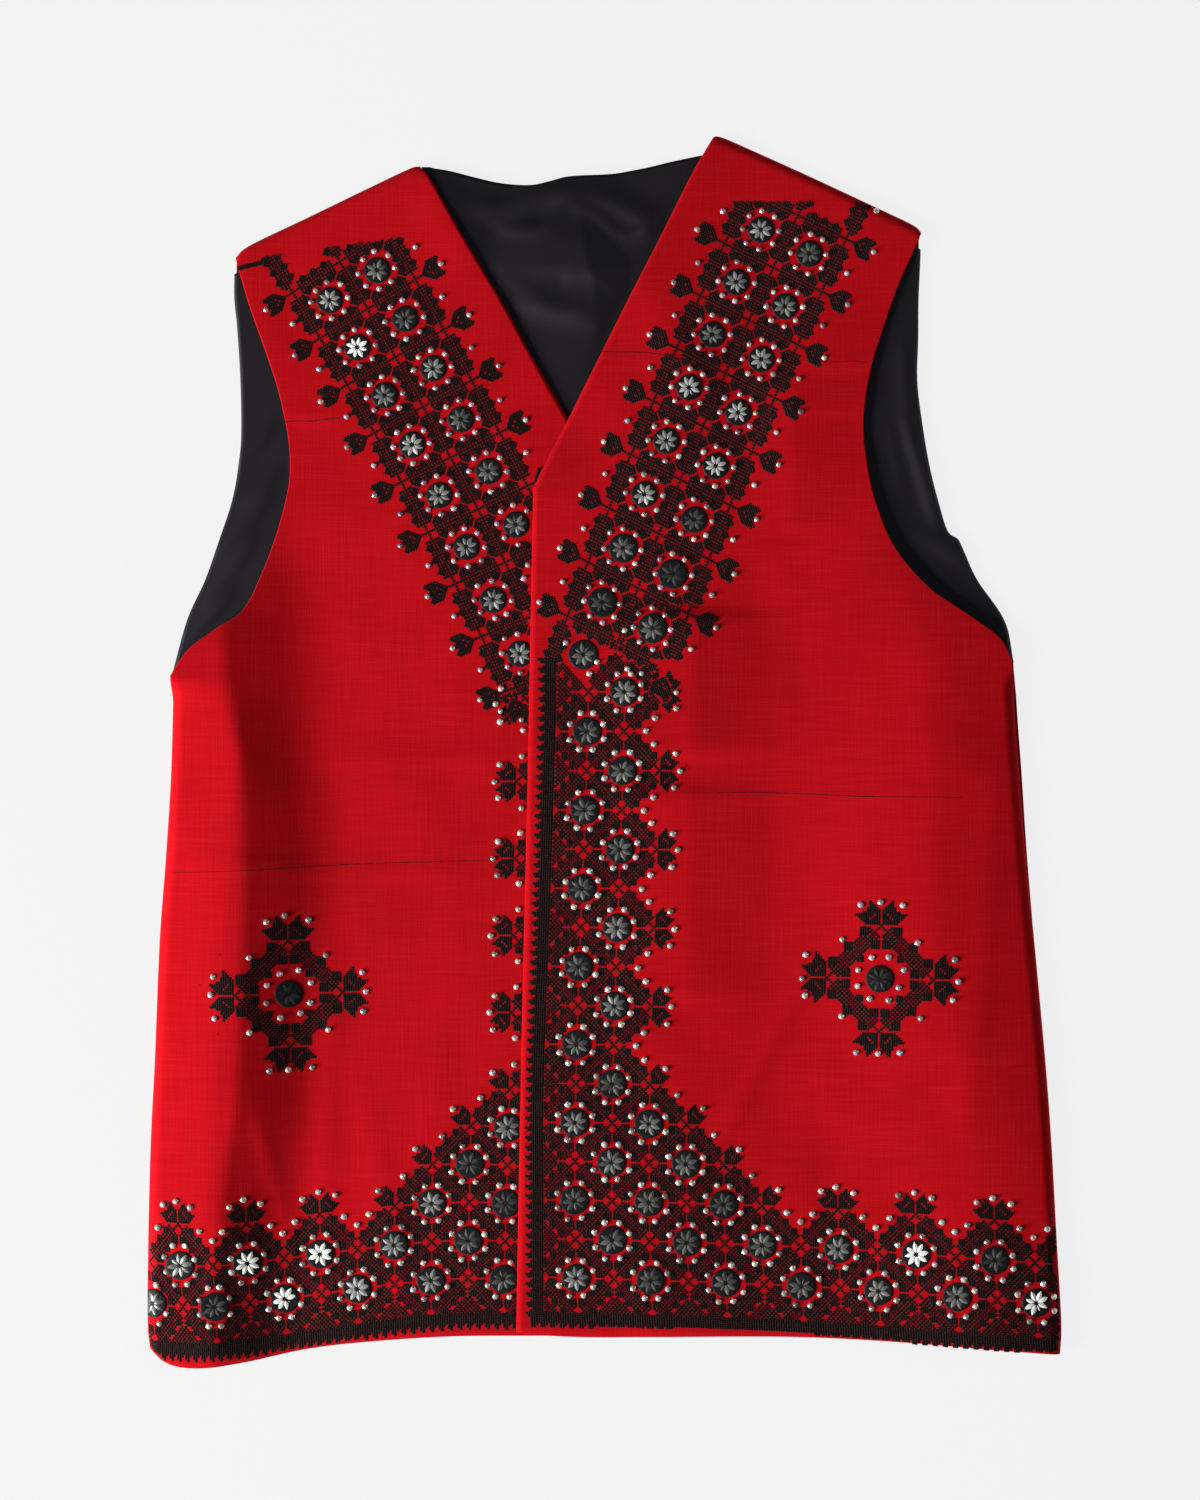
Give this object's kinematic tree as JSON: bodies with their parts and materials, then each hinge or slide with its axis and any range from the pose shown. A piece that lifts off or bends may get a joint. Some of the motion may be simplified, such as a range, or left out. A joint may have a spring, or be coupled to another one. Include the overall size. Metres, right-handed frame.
{
  "type": "embroidered folk vest",
  "caption": "Waist-length sleeveless red vest laid flat, two fronts crossing at the centre over a satin-lined back, worked with cross-stitch bands.",
  "frame": {"origin": "the surface the vest lies on, under the middle of the box round all its pieces", "axes": "+X to the viewer's right, which is the wearer's left; +Y from hem to shoulders; +Z away from the surface, out of the vest's front"},
  "size_m": [0.5018, 0.6754, 0.0171],
  "materials": {
    "red_back_cloth": "plain-woven red linen-like cloth",
    "black_satin": "black satin lining with a soft sheen",
    "red_front_cloth_right": "plain-woven red linen-like cloth with black cross-stitch, metallic petals and small clear stones",
    "red_front_cloth_left": "plain-woven red linen-like cloth with black cross-stitch, metallic petals and small clear stones"
  },
  "bodies": {
    "root": {"back_panel": "red_back_cloth", "back_lining": "black_satin", "front_panel_right": "red_front_cloth_right", "front_panel_left": "red_front_cloth_left"}
  },
  "joints": []
}
